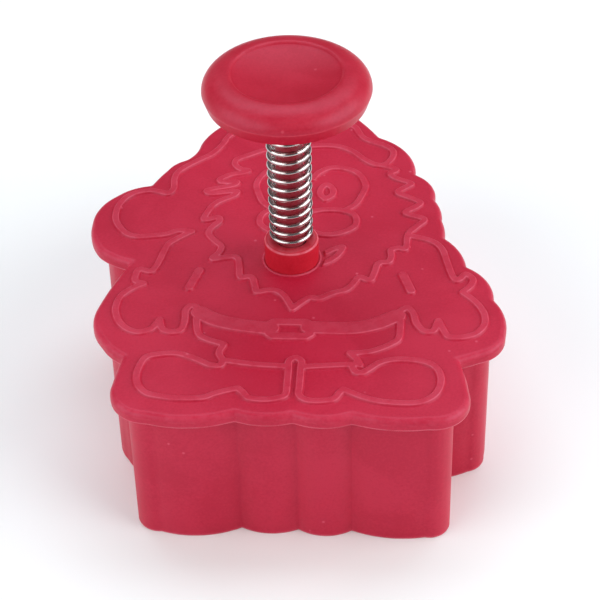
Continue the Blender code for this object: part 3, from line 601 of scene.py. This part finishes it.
def moulded_skin_group():
    """What the mould leaves on plastic: cloudy flow, fine grain, slow waves and a few specks."""
    tree, given, put = new_group(
        "moulded_skin", "ShaderNodeTree",
        [("Place", "NodeSocketVector", None), ("Flow Scale", "NodeSocketFloat", 70.0),
         ("Grain Scale", "NodeSocketFloat", 2600.0), ("Speck Scale", "NodeSocketFloat", 520.0)],
        [("Flow", "NodeSocketFloat"), ("Grain", "NodeSocketFloat"), ("Specks", "NodeSocketFloat"),
         ("Height", "NodeSocketFloat")])
    flow = add(tree, "ShaderNodeTexNoise", {
        "Vector": given["Place"], "Scale": given["Flow Scale"], "Detail": 3.0, "Roughness": 0.55,
        "Distortion": 0.8}).outputs["Fac"]
    grain = add(tree, "ShaderNodeTexNoise", {
        "Vector": given["Place"], "Scale": given["Grain Scale"],
        "Detail": 3.0, "Roughness": 0.6}).outputs["Fac"]
    waves = add(tree, "ShaderNodeTexNoise", {
        "Vector": given["Place"], "Scale": 210.0, "Detail": 1.0, "Roughness": 0.4}).outputs["Fac"]
    cells = add(tree, "ShaderNodeTexVoronoi", {
        "Vector": given["Place"], "Scale": given["Speck Scale"], "Randomness": 1.0}, feature="F1")
    chance = add(tree, "ShaderNodeSeparateColor", {"Color": cells.outputs["Color"]}).outputs[0]
    near = ramped(tree, cells.outputs["Distance"], 0.05, 0.16, 1.0, 0.0)
    rare = calc(tree, "GREATER_THAN", chance, 0.93)
    specks = calc(tree, "MULTIPLY", near, rare)
    height = calc(tree, "ADD", calc(tree, "MULTIPLY", grain, 0.28), calc(tree, "MULTIPLY", waves, 1.6))
    height = calc(tree, "ADD", height, calc(tree, "MULTIPLY", specks, 0.25))
    tree.links.new(ramped(tree, flow, 0.3, 0.7), put["Flow"])
    tree.links.new(grain, put["Grain"])
    tree.links.new(specks, put["Specks"])
    tree.links.new(height, put["Height"])
    return tree


def painted_highlight_group():
    """Painted highlights on a moulding's rounded edges, and a lighter tone on the tops of its raised lines.
    """
    tree, given, put = new_group(
        "painted_highlight", "ShaderNodeTree",
        [("Place", "NodeSocketVector", None), ("Edge Amount", "NodeSocketFloat", 0.7),
         ("Raised Amount", "NodeSocketFloat", 0.4)],
        [("Highlight", "NodeSocketFloat")])
    edge_glint = add(tree, "ShaderNodeAttribute", attribute_name="edge_glint").outputs["Fac"]
    raised = add(tree, "ShaderNodeAttribute", attribute_name="raised").outputs["Fac"]
    broken = add(tree, "ShaderNodeTexNoise", {
        "Vector": given["Place"], "Scale": 420.0, "Detail": 3.0, "Roughness": 0.65}).outputs["Fac"]
    broken = ramped(tree, broken, 0.36, 0.60, 0.4, 1.0)
    edge = calc(tree, "MULTIPLY", edge_glint, given["Edge Amount"])
    top = calc(tree, "MULTIPLY", raised, given["Raised Amount"])
    highlight_tone = calc(tree, "MULTIPLY", calc(tree, "MAXIMUM", edge, top), broken, clamp=True)
    tree.links.new(highlight_tone, put["Highlight"])
    return tree


skin_group = moulded_skin_group()
highlight_group = painted_highlight_group()


def new_material(name):
    made = bpy.data.materials.new(name)
    made.use_nodes = True
    tree = made.node_tree
    shader = tree.nodes["Principled BSDF"]
    return made, tree, shader


def mix_colour(tree, share, first, second):
    node = add(tree, "ShaderNodeMix", data_type="RGBA")
    for socket, value in ((node.inputs[0], share), (node.inputs[6], first), (node.inputs[7], second)):
        if isinstance(value, bpy.types.NodeSocket):
            tree.links.new(value, socket)
        else:
            socket.default_value = value if isinstance(value, float) else (*value, 1.0)
    return node.outputs[2]


GRAIN_IN_COLOUR = 2.8


def red_plastic(name, deep, light, highlight_tone, roughness, edge=0.8, raised=0.5, flow_scale=70.0, bump=0.8):
    """Satin moulded plastic with cloudy colour, fine grain and painted highlights on its rounded edges."""
    made, tree, shader = new_material(name)
    place = add(tree, "ShaderNodeTexCoord").outputs["Object"]
    skin = add(tree, "ShaderNodeGroup", node_tree=skin_group)
    skin.inputs["Flow Scale"].default_value = flow_scale
    highlight_node = add(tree, "ShaderNodeGroup", node_tree=highlight_group)
    highlight_node.inputs["Edge Amount"].default_value = edge
    highlight_node.inputs["Raised Amount"].default_value = raised
    tree.links.new(place, skin.inputs["Place"])
    tree.links.new(place, highlight_node.inputs["Place"])
    tone = calc(tree, "MULTIPLY_ADD", skin.outputs["Grain"], GRAIN_IN_COLOUR, skin.outputs["Flow"])
    tone = calc(tree, "SUBTRACT", tone, GRAIN_IN_COLOUR / 2, clamp=True)
    colour = mix_colour(tree, tone, deep, light)
    # Painted highlight: a pale tone along rounded edges and shoulders, and a lighter tone on the tops of
    # raised lines.
    colour = mix_colour(tree, highlight_node.outputs["Highlight"], colour, highlight_tone)
    # The moulding's own specks take the same pale tone.
    speck_share = calc(tree, "MULTIPLY", skin.outputs["Specks"], 0.5)
    colour = mix_colour(tree, speck_share, colour, highlight_tone)
    rough = calc(tree, "MULTIPLY_ADD", skin.outputs["Grain"], 0.16, roughness - 0.08)
    rough = calc(tree, "MULTIPLY_ADD", highlight_node.outputs["Highlight"], -0.06, rough, clamp=True)
    tree.links.new(colour, shader.inputs["Base Color"])
    tree.links.new(rough, shader.inputs["Roughness"])
    relief = add(tree, "ShaderNodeBump", {
        "Strength": bump, "Distance": 0.00006, "Height": skin.outputs["Height"]})
    tree.links.new(relief.outputs[0], shader.inputs["Normal"])
    shader.inputs["IOR"].default_value = 1.49
    shader.inputs["Specular IOR Level"].default_value = 0.32
    shader.inputs["Specular Tint"].default_value = (0.80, 0.74, 1.0, 1.0)
    shader.inputs["Subsurface Weight"].default_value = 0.12
    shader.inputs["Subsurface Radius"].default_value = (1.0, 0.12, 0.16)
    shader.inputs["Subsurface Scale"].default_value = 0.0012
    return made


def drawn_steel(name):
    """Bright spring wire with die lines along it and a few dull patches."""
    made, tree, shader = new_material(name)
    place = add(tree, "ShaderNodeTexCoord").outputs["Object"]
    along = add(tree, "ShaderNodeAttribute", attribute_name="along").outputs["Fac"]
    around = add(tree, "ShaderNodeAttribute", attribute_name="around").outputs["Fac"]
    on_wire = add(tree, "ShaderNodeCombineXYZ", {
        0: calc(tree, "MULTIPLY", along, 2.0), 1: calc(tree, "MULTIPLY", around, 26.0)}).outputs[0]
    lines = add(tree, "ShaderNodeTexNoise", {
        "Vector": on_wire, "Scale": 1.0, "Detail": 3.0, "Roughness": 0.6}).outputs["Fac"]
    patches = add(tree, "ShaderNodeTexNoise", {
        "Vector": place, "Scale": 600.0, "Detail": 2.0, "Roughness": 0.5}).outputs["Fac"]
    dull = ramped(tree, patches, 0.45, 0.75)
    colour = mix_colour(tree, dull, (0.62, 0.575, 0.565), (0.36, 0.32, 0.31))
    rough = calc(tree, "MULTIPLY_ADD", lines, 0.10, 0.03)
    rough = calc(tree, "MULTIPLY_ADD", dull, 0.10, rough)
    tree.links.new(colour, shader.inputs["Base Color"])
    tree.links.new(rough, shader.inputs["Roughness"])
    shader.inputs["Metallic"].default_value = 1.0
    relief = add(tree, "ShaderNodeBump", {"Strength": 0.5, "Distance": 0.00002, "Height": lines})
    tree.links.new(relief.outputs[0], shader.inputs["Normal"])
    return made


# The third colour of each is the pale tone of the painted edge highlights, which the specks share.
body_red = red_plastic(
    "body_red", (0.455, 0.008, 0.033), (0.515, 0.015, 0.046), (0.72, 0.130, 0.200), 0.42,
    edge=0.65, raised=0.16)
knob_red = red_plastic(
    "knob_red", (0.420, 0.006, 0.024), (0.475, 0.013, 0.036), (0.64, 0.080, 0.120), 0.39,
    edge=0.5, flow_scale=110.0)
# The collar is the body's plastic. Its brighter, more saturated red is painted light and shade, fitted to how
# its upright face looks.
collar_red = red_plastic(
    "collar_red", (0.55, 0.012, 0.028), (0.60, 0.017, 0.037), (0.74, 0.16, 0.21), 0.40,
    edge=0.9, flow_scale=160.0)
# The stem is the same red plastic. Its paler, less saturated colour is a painted haze of sheen.
stem_red = red_plastic("stem_red", (0.42, 0.035, 0.055), (0.48, 0.055, 0.075), (0.55, 0.10, 0.13), 0.30)
stamp_red = red_plastic(
    "stamp_red", (0.455, 0.008, 0.033), (0.505, 0.014, 0.044), (0.70, 0.120, 0.180), 0.44)
wire_steel = drawn_steel("wire_steel")

# ---------------------------------------------------------------- the cutter's body


def relief_rings(field, base, height, glint=0.8):
    """The loops of raised lines, from their feet to their tops."""
    rings = []
    for out, share in SLOPE:
        # A painted highlight runs along the upper shoulders of the raised lines, fainter on their flat tops.
        near_shoulder = glint if 0.6 < share else 0.0
        if out < -0.2:
            near_shoulder = 0.1
        for loop in contours(field, out):
            rings.append((loop, base + height * share, near_shoulder, share))
    return rings


def make_body():
    shell = Shell()
    outer_loop = rim_loops[-1][0]
    wall_loop = outer_contour(edge_field, 0.0)
    inner_loop = outer_contour(edge_field, -WALL)
    # Painted highlight along the flange's rounded top edge.
    rings = [(loop, height, RIM_GLINT * glint, 0) for loop, height, glint in rim_loops]
    rings.append((outer_contour(rim_field, OVERHANG - RIM_TOP_ROUND - 0.08), PLATE_TOP, 0, 0))
    rings += relief_rings(relief_field, PLATE_TOP, RELIEF)
    collar_hole = circle(BEAD_FOOT)
    rings.append((circle(BEAD_FOOT + 0.06), PLATE_TOP, 0, 0))
    rings.append((collar_hole, PLATE_TOP, 0, 0))
    shell.sheet(rings, outer_loop, [collar_hole])

    # Painted highlight lines at the top and the foot of the flange's side.
    shell.side(outer_loop, [(PLATE_TOP - RIM_TOP_ROUND, 0.2), (PLATE_TOP - RIM_TOP_ROUND - 0.12, 0),
                            (PLATE_UNDER + RIM_FOOT_ROUND + 0.12, 0), (PLATE_UNDER + RIM_FOOT_ROUND, 0.6)])
    # A thin painted highlight along the flange's rounded lower edge.
    rings = [(loop, height, max(glint, 0.6), 0) for loop, height, glint in foot_loops]
    rings.append((outer_contour(rim_field, OVERHANG - RIM_FOOT_ROUND - 0.08), PLATE_UNDER, 0, 0))
    rings.append((wall_loop, PLATE_UNDER, 0, 0))
    shell.sheet(rings, outer_loop, [wall_loop], upwards=False)

    rows = [(PLATE_UNDER - (PLATE_UNDER - EDGE_ROUND - 0.3) * row / 8, 0) for row in range(9)]
    # A painted highlight along the rounding of the cutting edge.
    rows.append((EDGE_ROUND, 0.7))
    shell.side(wall_loop, rows)
    shell.side(inner_loop, rows, outwards=False)
    rings = [(wall_loop, EDGE_ROUND, 0.7, 0), (inner_loop, EDGE_ROUND, 0.7, 0)]
    for inset, rise in ((0.09, 0.09), (0.3, 0.0)):
        rings.append((outer_contour(edge_field, -inset), rise, 0.9, 0))
        rings.append((outer_contour(edge_field, inset - WALL), rise, 0.9, 0))
    shell.sheet(rings, wall_loop, [inner_loop], upwards=False)

    bore = circle(BORE)
    rings = [(inner_loop, PLATE_UNDER, 0, 0), (bore, PLATE_UNDER, 0, 0)]
    shell.sheet(rings, inner_loop, [bore], upwards=False)
    # The fine bead round the collar carries a painted highlight line.
    bead_middle = (SEAT + BEAD_FOOT) / 2
    bead_half = (BEAD_FOOT - SEAT) / 2
    bead = [(bead_middle + across, PLATE_TOP + up, max(glint, 0.3))
            for across, up, glint in rounding(0, 0, bead_half, BEAD_RISE, 8, 0.0, 180.0)]
    seat = [(SEAT, -SEAT_DEPTH), (BORE, -SEAT_DEPTH), (BORE, -PLATE)]
    shell.turn([(radius, PLATE_TOP + rise, 0.0) for radius, rise in reversed(seat)] + bead[::-1])
    return shell.make("cutter_body_fine", body_red)


# ---------------------------------------------------------------- collar, stem and knob

def make_collar():
    edge = rounding(COLLAR - COLLAR_ROUND, COLLAR_TOP - COLLAR_ROUND, COLLAR_ROUND, COLLAR_ROUND, 6)
    foot = PLATE_TOP - SEAT_DEPTH + 0.05
    mouth = SOCKET + COLLAR_MOUTH
    # Painted highlights on the collar's top face, its rounded top edge and the socket's mouth.
    profile = [(mouth, COLLAR_TOP, 0.3), (3.5, COLLAR_TOP, 0.5), *edge,
               (COLLAR, COLLAR_TOP - 2.0, 0.0), (COLLAR, foot, 0.0),
               (COLLAR_NECK, foot, 0.0), (COLLAR_NECK, PLATE_UNDER, 0.0),
               (SOCKET, PLATE_UNDER, 0.0), (SOCKET, COLLAR_TOP - COLLAR_MOUTH, 0.0),
               (SOCKET + 0.07, COLLAR_TOP - 0.07, 0.6), (mouth, COLLAR_TOP, 0.1)]
    shell = Shell()
    shell.turn(profile)
    return shell.make("guide_collar_fine", collar_red)


def make_stem():
    low = stem_low.z
    high = stem_high.z
    shell = Shell()
    face = STEM - STEM_CHAMFER
    # Painted highlights on the stem's chamfers.
    shell.turn([(0, high, 0), (face, high, 0), (STEM, high - STEM_CHAMFER, 0.5),
                (STEM, (low + high) / 2, 0.1), (STEM, low + STEM_CHAMFER, 0.5),
                (face, low, 0), (0, low, 0)], steps=64)
    return shell.make("plunger_stem_fine", stem_red)


def make_knob():
    low = KNOB_FOOT
    crest = knob_high.z
    profile = []
    for share in np.linspace(0, 1, 11):
        profile.append((DISH * share, crest - DISH_DEPTH + DISH_RISE * share ** 2, 0.0))
    # A painted light ring just outside the dish's crease.
    profile += [(7.68, crest - 0.27, 0.2), (7.78, crest - 0.15, 0.6), (7.94, crest - 0.05, 0.5)]
    widest = crest - CREST_DROP
    # Painted highlight over the rounded rim, strongest as a line at its widest circle.
    profile += [(radius, height, KNOB_GLINT * glint) for radius, height, glint in
                rounding(CREST, widest, KNOB_RUN, CREST_DROP, 20)]
    profile[-1] = (CREST + KNOB_RUN, widest, 0.9)
    core = low + HOLLOW_DEPTH
    hub = knob_low.z
    roof = stem_high.z + 0.3
    # Faint painted highlights on the lower edges and the hub.
    profile += [(11.87, widest - 0.09, 0.3), (11.4, low + 0.3, 0.0), (11.31, low + 0.09, 0.2),
                (11.1, low, 0.2), (9.9, low, 0.1), (9.7, core, 0), (4.4, core, 0), (4.1, core - 0.2, 0),
                (4.0, hub + 0.15, 0), (3.85, hub, 0.2), (SOCKET, hub, 0), (SOCKET, roof, 0), (0, roof, 0)]
    shell = Shell()
    shell.turn(profile, steps=144)
    return shell.make("press_knob_fine", knob_red)


# ---------------------------------------------------------------- the stamp

def make_stamp():
    under = stamp_low.z + RIDGE
    floor = under + STAMP_FACE
    top = under + STAMP_HEIGHT
    stop = stamp_high.z
    inset = WALL + STAMP_GAP
    shell = Shell()
    pocket_loop = outer_contour(edge_field, -inset - STAMP_WALL)
    ridge_field = np.maximum(softened(distance_to(relief_paths(RIDGE_BAND), 1.6), 1),
                             edge_field + inset + RIDGE_MARGIN)
    # Painted highlights on the stamp's rounded edges.
    rings = [(outer_contour(edge_field, -inset - 0.3 + across), under + 0.3 - up, glint, 0)
             for across, up, glint in rounding(0, 0, 0.3, 0.3, 3)]
    outer_loop = rings[-1][0]
    rings += [(loop, 2 * under - height, glint, raised)
              for loop, height, glint, raised in relief_rings(ridge_field, under, RIDGE)]
    shell.sheet(rings, outer_loop, upwards=False)
    shell.side(outer_loop, [(top, 0.4), (under + 0.3, 0)])
    shell.sheet([(outer_loop, top, 0.4, 0), (pocket_loop, top, 0.4, 0)], outer_loop, [pocket_loop])
    shell.side(pocket_loop, [(top, 0.4), (floor, 0)], outwards=False)
    boss = circle(BOSS)
    shell.sheet([(pocket_loop, floor, 0, 0), (boss, floor, 0, 0)], pocket_loop, [boss])
    shell.turn([(0, floor, 0), (SOCKET, floor, 0), (SOCKET, stop, 0.3), (BOSS - 0.2, stop, 0.2),
                (BOSS, stop - 0.2, 0.4), (BOSS, floor, 0)])
    return shell.make("stamp_plate_fine", stamp_red)


# ---------------------------------------------------------------- the spring

def coil_tree():
    """A wire wound on an upright axis, with closed turns at both ends."""
    lengths = [("Axis X", STEM_AXIS.x * MM), ("Axis Y", STEM_AXIS.y * MM), ("Lowest Middle", 0.0),
               ("Coil Radius", 0.0), ("Wire Radius", 0.0), ("Open Pitch", 0.0), ("Closed Pitch", 0.0),
               ("Closed Turns", 1.0), ("Open Turns", 10.0), ("Points a Turn", 48.0)]
    tree, given, put = new_group(
        "wound_spring", "GeometryNodeTree",
        [(label, "NodeSocketFloat", value) for label, value in lengths]
        + [("Wire Sides", "NodeSocketInt", 16), ("Finish", "NodeSocketMaterial", None)],
        [("Geometry", "NodeSocketGeometry")])
    closed = given["Closed Turns"]
    total = calc(tree, "ADD", given["Open Turns"], calc(tree, "MULTIPLY", closed, 2.0))
    count = calc(tree, "ROUND", calc(tree, "MULTIPLY", total, given["Points a Turn"]))
    line = add(tree, "GeometryNodeCurvePrimitiveLine", {"End": (0.0, 0.0, 1.0)}).outputs[0]
    line = add(tree, "GeometryNodeResampleCurve", {"Curve": line, "Count": count}).outputs[0]
    share = add(tree, "GeometryNodeSplineParameter").outputs["Factor"]
    turn = calc(tree, "MULTIPLY", share, total)
    below = calc(tree, "MINIMUM", turn, closed)
    rest = calc(tree, "MAXIMUM", calc(tree, "SUBTRACT", turn, closed), 0.0)
    opened = calc(tree, "MINIMUM", rest, given["Open Turns"])
    above = calc(tree, "SUBTRACT", rest, opened)
    angle = calc(tree, "MULTIPLY", turn, 2 * math.pi)
    x = calc(tree, "MULTIPLY_ADD", calc(tree, "COSINE", angle), given["Coil Radius"], given["Axis X"])
    y = calc(tree, "MULTIPLY_ADD", calc(tree, "SINE", angle), given["Coil Radius"], given["Axis Y"])
    closed_turns = calc(tree, "ADD", below, above)
    z = calc(tree, "MULTIPLY_ADD", closed_turns, given["Closed Pitch"], given["Lowest Middle"])
    z = calc(tree, "MULTIPLY_ADD", opened, given["Open Pitch"], z)
    place = add(tree, "ShaderNodeCombineXYZ", {0: x, 1: y, 2: z}).outputs[0]
    coil = add(tree, "GeometryNodeSetPosition", {"Geometry": line, "Position": place}).outputs[0]
    coil = add(tree, "GeometryNodeStoreNamedAttribute", {
        "Geometry": coil, "Name": "along", "Value": turn}, data_type="FLOAT", domain="POINT").outputs[0]
    ring = add(tree, "GeometryNodeCurvePrimitiveCircle", {
        "Resolution": given["Wire Sides"], "Radius": given["Wire Radius"]}).outputs[0]
    round_share = add(tree, "GeometryNodeSplineParameter").outputs["Factor"]
    ring = add(tree, "GeometryNodeStoreNamedAttribute", {
        "Geometry": ring, "Name": "around", "Value": round_share},
        data_type="FLOAT", domain="POINT").outputs[0]
    wire = add(tree, "GeometryNodeCurveToMesh", {
        "Curve": coil, "Profile Curve": ring, "Fill Caps": True}).outputs[0]
    wire = add(tree, "GeometryNodeRealizeInstances", {"Geometry": wire}).outputs[0]
    wire = add(tree, "GeometryNodeSetMaterial", {"Geometry": wire, "Material": given["Finish"]}).outputs[0]
    tree.links.new(wire, put["Geometry"])
    return tree


def make_spring():
    wire = WIRE / 2
    open_pitch = 1.57
    closed_pitch = 1.0
    lowest = spring_low.z + wire
    rise = SPRING_REST - 2 * wire
    tree = coil_tree()
    sizes = {
        "Lowest Middle": lowest * MM, "Coil Radius": COIL_RADIUS * MM, "Wire Radius": wire * MM,
        "Open Pitch": open_pitch * MM, "Closed Pitch": closed_pitch * MM,
        "Open Turns": (rise - 2 * closed_pitch) / open_pitch, "Finish": wire_steel}
    holder = bpy.data.objects.new("spring_maker", bpy.data.meshes.new("spring_maker"))
    bpy.context.scene.collection.objects.link(holder)
    winding = holder.modifiers.new("winding", "NODES")
    winding.node_group = tree
    for socket in tree.interface.items_tree:
        if socket.item_type == "SOCKET" and socket.name in sizes:
            winding[socket.identifier] = sizes[socket.name]
    bpy.context.view_layer.update()
    evaluated = holder.evaluated_get(bpy.context.evaluated_depsgraph_get())
    mesh = bpy.data.meshes.new_from_object(evaluated)
    mesh.name = "return_spring_fine"
    bpy.data.objects.remove(holder, do_unlink=True)
    mesh.shade_smooth()
    mesh.set_sharp_from_angle(angle=math.radians(50))
    piece = bpy.data.objects.new("return_spring_fine", mesh)
    bpy.context.scene.collection.objects.link(piece)
    return piece


# ---------------------------------------------------------------- floor, light and camera

WORLD_COLOUR = (0.95, 0.97, 1.0, 1.0)
WORLD_STRENGTH = 0.15
# Azimuth and elevation in degrees, distance, width and height in metres, power in watts, colour.
SOFT_BOXES = {
    "left_box": (-58, 26, 0.75, 0.95, 0.6, 4.2, (1.0, 1.0, 1.0)),
    "right_box": (78, 26, 0.75, 0.85, 0.6, 5.4, (1.0, 1.0, 1.0)),
    "back_box": (180, 66, 0.9, 1.1, 0.6, 5.4, (0.93, 0.94, 1.0)),
}
FLOOR_HALF = 3.0           # metres
FLOOR_DROP = 0.00002       # metres below the cutting edge
LENS = 115.2
SENSOR = 36.0
AIM = (1.58, -14.45, 25.0)         # millimetres
BACKWARDS = (0.0540, -0.7720, 0.6334)
CAMERA_DISTANCE = 277.06           # millimetres
CAMERA_LEAN = -1.57                # degrees


def make_floor():
    mesh = bpy.data.meshes.new("floor")
    half = FLOOR_HALF
    corners = [(-half, -half, 0), (half, -half, 0), (half, half, 0), (-half, half, 0)]
    mesh.from_pydata(corners, [], [(0, 1, 2, 3)])
    made, _, shader = new_material("floor_white")
    shader.inputs["Base Color"].default_value = (0.89, 0.93, 0.93, 1.0)
    shader.inputs["Roughness"].default_value = 0.9
    shader.inputs["Specular IOR Level"].default_value = 0.1
    shader.inputs["Emission Color"].default_value = (1.0, 1.0, 1.0, 1.0)
    shader.inputs["Emission Strength"].default_value = 0.06
    mesh.materials.append(made)
    floor = bpy.data.objects.new("floor", mesh)
    floor.location.z = -FLOOR_DROP
    bpy.context.scene.collection.objects.link(floor)


def soft_box(name, azimuth, elevation, distance, width, height, power, colour):
    """A soft box aimed at the object. Azimuth 0 is in front, and grows to the right."""
    light = bpy.data.lights.new(name, "AREA")
    light.shape = "RECTANGLE"
    light.size = width
    light.size_y = height
    light.energy = power
    light.color = colour
    lamp = bpy.data.objects.new(name, light)
    across = math.radians(azimuth)
    up = math.radians(elevation)
    direction = Vector((math.sin(across) * math.cos(up), -math.cos(across) * math.cos(up), math.sin(up)))
    lamp.location = Vector((0.0, 0.0, 0.02)) + direction * distance
    lamp.rotation_euler = direction.to_track_quat("Z", "Y").to_euler()
    bpy.context.scene.collection.objects.link(lamp)


def make_light():
    world = bpy.data.worlds.new("studio")
    world.use_nodes = True
    background = world.node_tree.nodes["Background"]
    background.inputs["Color"].default_value = WORLD_COLOUR
    background.inputs["Strength"].default_value = WORLD_STRENGTH
    bpy.context.scene.world = world
    for name, values in SOFT_BOXES.items():
        soft_box(name, *values)


def make_camera():
    camera_data = bpy.data.cameras.new("camera")
    camera_data.lens = LENS
    camera_data.sensor_width = SENSOR
    camera_data.clip_start = 0.01
    camera_data.clip_end = 20.0
    camera = bpy.data.objects.new("camera", camera_data)
    target = Vector(AIM) * MM
    backwards = Vector(BACKWARDS).normalized()
    camera.location = target + backwards * CAMERA_DISTANCE * MM
    turn = backwards.to_track_quat("Z", "Y").to_matrix().to_4x4()
    lean = math.radians(CAMERA_LEAN)
    camera.matrix_world = Matrix.Translation(camera.location) @ turn @ Matrix.Rotation(lean, 4, "Z")
    bpy.context.scene.collection.objects.link(camera)
    bpy.context.scene.camera = camera


make_camera()
make_light()
make_floor()

body = make_body()
collar = make_collar()
spring = make_spring()
stem = make_stem()
knob = make_knob()
stamp = make_stamp()

for piece, node, group, slot in (
        (body, "cutter_body", "cutter", "red_moulding"),
        (collar, "guide_collar", "cutter", "red_moulding"),
        (spring, "return_spring", "cutter", "spring_steel"),
        (stem, "plunger_stem", "plunger", "red_moulding"),
        (knob, "press_knob", "plunger", "red_moulding"),
        (stamp, "stamp_plate", "plunger", "red_moulding")):
    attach(piece, group)
    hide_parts(node)

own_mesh(spring)

bpy.context.scene.view_settings.view_transform = "Standard"
